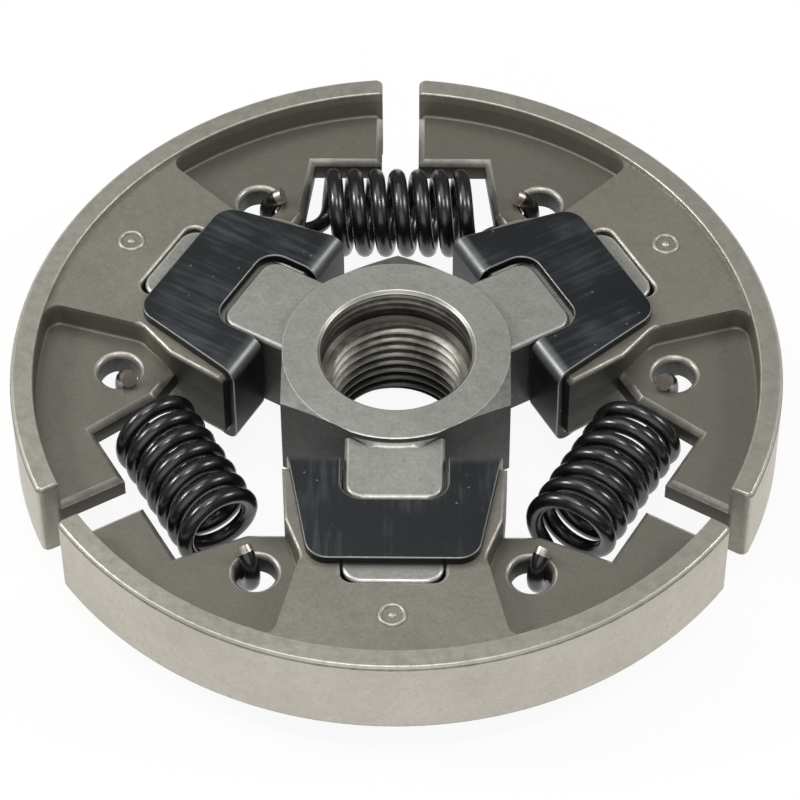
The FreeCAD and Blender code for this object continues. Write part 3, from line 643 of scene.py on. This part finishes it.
# Turn of the edge, nearest and farthest distance, height, shortest edge, width in mm, wear, steps, finish.
SHOE_ROUNDS = {
    "feet of the walls": (HOLLOW_EDGE, FOOT_FROM, DRUM_RADIUS, WEB_HALF, 0, 0.5, 0.0, 3, SKIN),
    "foot of the rim": (HOLLOW_EDGE, BLOCK_UNTIL, DRUM_RADIUS, BLOCK_HALF, 0, 0.12, 0.7, 2, SKIN),
    "edges of the block": (FREE_EDGE, 0, BLOCK_UNTIL, BLOCK_HALF, 0, 0.25, 0.7, 3, SKIN),
    "inner edges of the rim": (FREE_EDGE, BLOCK_UNTIL, DRUM_RADIUS, RIM_HALF, 0, 0.15, 0.8, 3, SKIN),
    "rim's chamfer above": (BROKEN_EDGE, RIM_FROM, RIM_UNTIL, RIM_HALF, 0, 0.1, 0.9, 2, SKIN),
    # The rim's lower chamfer takes the painted shade of the sides.
    "rim's chamfer below": (BROKEN_EDGE, RIM_FROM, RIM_UNTIL, RIM_HALF - BREAK, 0, 0.1, 0.4, 2, SHADED_SIDES),
    "chamfers of the webs": (BROKEN_EDGE, 0, RIM_FROM, WEB_HALF, LONG, 0.12, 0.7, 2, SKIN),
}


def on_shoe(turn, near, far, height):
    """A test for level edges at plus or minus a height, between two distances from the shoe's own centre."""
    back = turn.inverted()

    def test(edge):
        ends = [back @ vert.co for vert in edge.verts]
        level = abs(ends[0].z - ends[1].z) < LEVEL and abs(abs(ends[0].z) - height) < LEVEL
        return level and all(near < math.hypot(end.x + SHOE_TRAVEL, end.y) < far for end in ends)
    return test


print("a shoe's rounds:", ", ".join(SHOE_ROUNDS))

# %% [markdown]
# ### The three shoes
# Handling rubs the chamfers most, where a painted sheen lies too, and the rim's faces a little. The walls of
# the hook holes take the painted shade of the hub's sides.

# %% Shoes
STEEP = 0.3
SHOE_LEAN_WEAR_AND_SHEEN, RIM_WEAR = 0.75, 0.3
HOOK_REACH, HOOK_TURN, HOLE_REACH = 23.33 * MM, math.radians(28.44), 1.8 * MM


def hole_walls(shape, turn):
    """Upright faces inside the two hook holes."""
    holes = [turn @ Matrix.Rotation(way * HOOK_TURN, 4, "Z") @ Vector((HOOK_REACH, 0, 0)) for way in (-1, 1)]
    return [face for face in shape.faces if abs(face.normal.z) < STEEP
            and any(all((vert.co - hole).xy.length < HOLE_REACH for vert in face.verts) for hole in holes)]


for side, angle in ARMS.items():
    shape = copy_of(f"shoe_{side}")
    turn = on_arm(angle)
    # Leaning faces get wear and a painted sheen.
    wear_and_sheen_leaning(shape, SHOE_LEAN_WEAR_AND_SHEEN)
    rim_faces = [face for face in shape.faces
                 if abs(face.calc_center_median().z - MID_HEIGHT) > BLOCK_HALF + LEVEL]
    rub(shape, rim_faces, RIM_WEAR)
    for limits, near, far, height, shortest, width_mm, wear_and_sheen, steps, finish in SHOE_ROUNDS.values():
        edges = sharp_edges(shape, *limits, on_shoe(turn, near, far, height))
        edges = [edge for edge in edges if edge.calc_length() > shortest]
        soften(shape, edges, width_mm, wear_and_sheen, steps, finish)
    # The walls of the hook holes take the painted shade of the sides.
    for face in hole_walls(shape, turn):
        face.material_index = SHADED_SIDES
    finish_piece(shape, f"pressed_shoe_{side}", [shoe_finish[side], shaded_side_finish], f"shoe_{side}",
                 f"shoe_{side}")

# %% [markdown]
# ### Marks on the shoes
# The punch leaves a small raised mark on each shoe, a ring with a dot in it. The ring is a small circle spun
# round the mark's middle, and the dot a flattened ball; both are sunk halfway into the block.

# %% Raised marks
MARK_REACH = 26.4 * MM
MARK_RADIUS, MARK_WIRE, MARK_DOT = 1.0 * MM, 0.2 * MM, 0.36 * MM
MARK_FLAT, MARK_WEAR = 0.55, 0.6
MARK_SIDES, MARK_STEPS, DOT_SIDES, DOT_RINGS = 12, 48, 24, 12

for side, angle in ARMS.items():
    shape = bmesh.new()
    upright = Matrix.Translation((MARK_RADIUS, 0, 0)) @ Matrix.Rotation(math.pi / 2, 4, "X")
    bmesh.ops.create_circle(shape, segments=MARK_SIDES, radius=MARK_WIRE, matrix=upright)
    bmesh.ops.spin(shape, geom=shape.verts[:] + shape.edges[:], cent=(0, 0, 0), axis=(0, 0, 1),
                   angle=math.tau, steps=MARK_STEPS, use_merge=True)
    bmesh.ops.create_uvsphere(shape, u_segments=DOT_SIDES, v_segments=DOT_RINGS, radius=MARK_DOT,
                              matrix=Matrix.Diagonal((1, 1, MARK_FLAT, 1)))
    bmesh.ops.recalc_face_normals(shape, faces=shape.faces)
    shape.faces.layers.float.new("wear_and_sheen")
    rub(shape, shape.faces, MARK_WEAR)
    seat = on_arm(angle) @ Matrix.Translation((MARK_REACH, 0, BLOCK_HALF))
    bmesh.ops.transform(shape, matrix=seat, verts=shape.verts)
    finish_piece(shape, f"raised_mark_{side}", [shoe_finish[side]], f"shoe_{side}")

# %% [markdown]
# ## Carrier
# The carrier is pressed in the same way, then its top and bore are turned, so the turned edges are crisp and
# the pressed ones are soft. The groups of edges lie between two distances from the axis and two heights.

# %% Groups of edges on the carrier
HUB_REACH, FLAT_REACH, BORE_REACH = 11.2 * MM, 9.55 * MM, 6.65 * MM
ROOT_END, ARM_END = 15.5 * MM, 30.0 * MM
HUB_TOP, ROOT_TOP, ROOT_FOOT = 12.0 * MM, 11.1 * MM, 3.0 * MM
MOUTH_FOOT = HUB_TOP - BREAK
TURNED_EDGE, HEX_EDGE = (18, 50), (50, 120)
# Turn of the edge, nearest and farthest distance, lowest and highest point, width in mm, wear, steps.
CARRIER_ROUNDS = {
    "edges of the arms": (FREE_EDGE, ROOT_END, ARM_END, 0, HUB_TOP, 0.3, 0.9, 3),
    "upper edges of the roots": (FREE_EDGE, FLAT_REACH, ROOT_END, ROOT_TOP, ROOT_TOP, 0.2, 0.8, 3),
    "lower edges of the roots": (FREE_EDGE, FLAT_REACH, ROOT_END, ROOT_FOOT, ROOT_FOOT, 0.2, 0.8, 3),
    "edge of the turned top": (TURNED_EDGE, BORE_REACH, FLAT_REACH, HUB_TOP, HUB_TOP, 0.28, 1.0, 2),
    "mouth of the bore": (TURNED_EDGE, 0, BORE_REACH, MOUTH_FOOT, HUB_TOP, 0.06, 0.9, 2),
    "edges of the hexagon": (HEX_EDGE, BORE_REACH, HUB_REACH, 0, HUB_TOP, 0.1, 0.8, 3),
}


def between(near, far, low, high):
    """A test for edges that lie between two distances from the axis and two heights."""
    return lambda edge: all(near < vert.co.xy.length < far and low - LEVEL < vert.co.z < high + LEVEL
                            for vert in edge.verts)


print("the carrier's rounds:", ", ".join(CARRIER_ROUNDS))

# %% [markdown]
# ### The carrier and its finishes
# The hub's upright sides and the chamfers on its free corners take a painted shade, and the bore a finish of
# its own, chosen by where a face lies and how it leans. The chamfers above the arms are rubbed bright with
# the arms' roots.

# %% Carrier
CARRIER_LEAN_WEAR_AND_SHEEN, ROOT_WEAR = 0.6, 0.5
HUB_CHAMFER = (0.91, 0.94)
ARM_WAYS = [Matrix.Rotation(math.radians(angle), 3, "Z") @ Vector((1, 0, 0)) for angle in ARMS.values()]
NEAR_ARM = math.cos(math.radians(30))

shape = copy_of("carrier")
# Leaning faces get wear and a painted sheen.
wear_and_sheen_leaning(shape, CARRIER_LEAN_WEAR_AND_SHEEN)
for limits, near, far, low, high, width_mm, wear_and_sheen, steps in CARRIER_ROUNDS.values():
    soften(shape, sharp_edges(shape, *limits, between(near, far, low, high)), width_mm, wear_and_sheen, steps)
# Upright faces and the free chamfers get the painted shade; the bore gets its own finish.
for face in shape.faces:
    away = max(vert.co.xy.length for vert in face.verts)
    if away < BORE_REACH:
        face.material_index = BORE
    elif abs(face.normal.z) < STEEP:
        face.material_index = SHADED_SIDES
    elif away > FLAT_REACH and HUB_CHAMFER[0] < face.normal.z < HUB_CHAMFER[1]:
        way = face.calc_center_median() * Vector((1, 1, 0))
        over_arm = max(way.normalized().dot(arm) for arm in ARM_WAYS) > NEAR_ARM
        if over_arm:
            rub(shape, [face], ROOT_WEAR)
        else:
            face.material_index = SHADED_SIDES
finish_piece(shape, "pressed_carrier", [carrier_finish, shaded_side_finish, bore_finish],
             "carrier", "carrier")

# %% [markdown]
# ## Clips
# A stamped sheet has square edges with only a trace of rounding, and its folds are already in the solid.

# %% Clips
FOLD_HIGHLIGHT = 0.6
CLIP_ROUND_MM, CLIP_WEAR, CLIP_STEPS = 0.1, 0.8, 3

for side in ARMS:
    shape = copy_of(f"retainer_{side}")
    # The folds get a painted highlight, strongest where they lean by half a right angle.
    wear_and_sheen_leaning(shape, FOLD_HIGHLIGHT)
    soften(shape, sharp_edges(shape, *FREE_EDGE), CLIP_ROUND_MM, CLIP_WEAR, CLIP_STEPS)
    # Upright faces take the painted shade.
    for face in shape.faces:
        face.material_index = SHADED_SIDES if abs(face.normal.z) < STEEP else SKIN
    finish_piece(shape, f"folded_clip_{side}", [clip_finish[side], clip_sides_shade],
                 f"shoe_{side}", f"retainer_{side}")

# %% [markdown]
# ## Springs
# A tension spring is one wire: coils, a lead at each end, and a hook that goes under the web and up through
# its hole. The wire's line could be drawn point by point. Here a turned vertex gives the coils and the hooks,
# a Bezier piece joins them, and a round section follows. Each spring is split in the middle, so that each
# half stretches with its own shoe.

# %% Line of the wire
COIL_RADIUS, COIL_PITCH = 3.175 * MM, 1.85 * MM
HALF_TURNS = 3.36
COIL_STEPS, HOOK_STEPS, LEAD_STEPS = 40, 24, 14
LEAD_REACH = 1.6 * MM
HOOK_BEND, HOOK_SEAT, HOOK_CLOSE = 2.4 * MM, 11.55 * MM, math.radians(156)
HALF_OVERLAP = 0.05 * MM


def turned_vertex(start, centre, axis, angle, steps, rise=(0, 0, 0)):
    """Points that a vertex passes through as it is spun, with a rise at each step."""
    line = bmesh.new()
    vert = line.verts.new(start)
    bmesh.ops.spin(line, geom=[vert], cent=centre, axis=axis, dvec=rise, angle=angle, steps=steps)
    points = [each.co.copy() for each in line.verts]
    line.free()
    return points


def half_wire():
    """Middle line from the top of the middle coil, along +X, to the cut end of the hook."""
    steps = round(HALF_TURNS * COIL_STEPS)
    coils = turned_vertex((0, 0, COIL_RADIUS), (0, 0, 0), (1, 0, 0), math.tau * HALF_TURNS, steps,
                          (COIL_PITCH * HALF_TURNS / steps, 0, 0))
    centre = Vector((HOOK_SEAT - HOOK_BEND, 0, 0))
    hook = turned_vertex(centre + Vector((0, 0, -HOOK_BEND)), centre, (0, -1, 0), HOOK_CLOSE, HOOK_STEPS)
    # The two halves meet square to the wire and overlap a little, so that no gap opens between them.
    start = coils[0] - Vector((coils[1].x, coils[1].y, 0)).normalized() * HALF_OVERLAP
    heading = (coils[-1] - coils[-2]).normalized()
    lead = interpolate_bezier(coils[-1], coils[-1] + heading * LEAD_REACH,
                              hook[0] - Vector((LEAD_REACH, 0, 0)), hook[0], LEAD_STEPS)
    return [start] + coils + lead[1:-1] + hook


line = half_wire()
length = sum((after - before).length for before, after in zip(line, line[1:]))
print("half a wire:", len(line), "points,", round(length / MM, 1), "mm")

# %% [markdown]
# ### Wire round the line
# A curve with a round bevel follows the line and is turned into a mesh with closed ends. The end that was cut
# gets the finish of torn steel.

# %% Springs, each in two halves
WIRE_RADIUS, WIRE_ROUNDNESS = 0.7 * MM, 5
SPRING_DISTANCE = 19.88 * MM
BARE_REACH = 0.9 * MM
CUT_END = 1


def round_wire(points):
    """A round section along a line, closed at both ends, as a bmesh."""
    path = bpy.data.curves.new("wire", "CURVE")
    path.dimensions = "3D"
    spline = path.splines.new("POLY")
    spline.points.add(len(points) - 1)
    for knot, point in zip(spline.points, points):
        knot.co = (*point, 1)
    path.bevel_depth = WIRE_RADIUS
    path.bevel_resolution = WIRE_ROUNDNESS
    path.use_fill_caps = True
    holder = bpy.data.objects.new("wire", path)
    bpy.context.scene.collection.objects.link(holder)
    mesh = bpy.data.meshes.new_from_object(holder.evaluated_get(bpy.context.evaluated_depsgraph_get()))
    shape = bmesh.new()
    shape.from_mesh(mesh)
    bpy.data.objects.remove(holder)
    bpy.data.curves.remove(path)
    bpy.data.meshes.remove(mesh)
    bmesh.ops.remove_doubles(shape, verts=shape.verts, dist=MERGE)
    bmesh.ops.recalc_face_normals(shape, faces=shape.faces)
    return shape


for gap, (angle, near_side, far_side) in GAPS.items():
    seat = (Matrix.Rotation(math.radians(angle - 90), 4, "Z")
            @ Matrix.Translation((0, SPRING_DISTANCE, MID_HEIGHT)))
    for way, side in ((0, far_side), (180, near_side)):
        turn = seat @ Matrix.Rotation(math.radians(way), 4, "Z")
        shape = round_wire([turn @ point for point in line])
        tip = turn @ line[-1]
        for face in shape.faces:
            if (face.calc_center_median() - tip).length < BARE_REACH:
                face.material_index = CUT_END
        piece = finish_piece(shape, f"spring_{gap}_half_to_{side}", [black_wire, bare_end],
                             node=f"spring_{gap}")
        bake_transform(piece, "carrier", f"shoe_{side}", start=turn @ Vector((0, 0, 0)),
                 end=turn @ Vector((HOOK_SEAT - HOOK_BEND, 0, 0)))

# %% [markdown]
# ## Crank thread
# The crankshaft's thread is fine and left-handed. A small ridge, spun round the bore with a rise at each
# step, stands on the plain wall of the solid, whose radius is that of the thread's roots. It is spun past
# both ends and then cut off level there, as a real thread is when the faces are turned, and the cuts are
# closed.

# %% Thread in the bore
ROOT_RADIUS, CREST_RADIUS, THREAD_PITCH = 6.0 * MM, 5.46 * MM, 1.0 * MM
THREAD_TURNS, THREAD_STEPS = 11, 72
THREAD_SUNK = 0.3 * MM
RIDGE_FOOT, RIDGE_CREST = 0.43 * MM, 0.09 * MM
THREAD_LOW, THREAD_HIGH = 0.05 * MM, 8.6 * MM

shape = bmesh.new()
profile = [(ROOT_RADIUS + THREAD_SUNK, -RIDGE_FOOT), (ROOT_RADIUS, -RIDGE_FOOT), (CREST_RADIUS, -RIDGE_CREST),
           (CREST_RADIUS, RIDGE_CREST), (ROOT_RADIUS, RIDGE_FOOT), (ROOT_RADIUS + THREAD_SUNK, RIDGE_FOOT)]
section = shape.faces.new([shape.verts.new((radius, 0, height - THREAD_PITCH)) for radius, height in profile])
bmesh.ops.spin(shape, geom=[section], cent=(0, 0, 0), axis=(0, 0, -1),
               dvec=(0, 0, THREAD_PITCH / THREAD_STEPS), angle=math.tau * THREAD_TURNS,
               steps=THREAD_TURNS * THREAD_STEPS)
for height, way in ((THREAD_LOW, -1), (THREAD_HIGH, 1)):
    cut = bmesh.ops.bisect_plane(shape, geom=shape.verts[:] + shape.edges[:] + shape.faces[:],
                                 plane_co=(0, 0, height), plane_no=(0, 0, way), clear_outer=True)
    rim = [item for item in cut["geom_cut"] if isinstance(item, bmesh.types.BMEdge)]
    bmesh.ops.holes_fill(shape, edges=rim)
bmesh.ops.recalc_face_normals(shape, faces=shape.faces)
finish_piece(shape, "crank_thread", [thread_finish], "carrier")
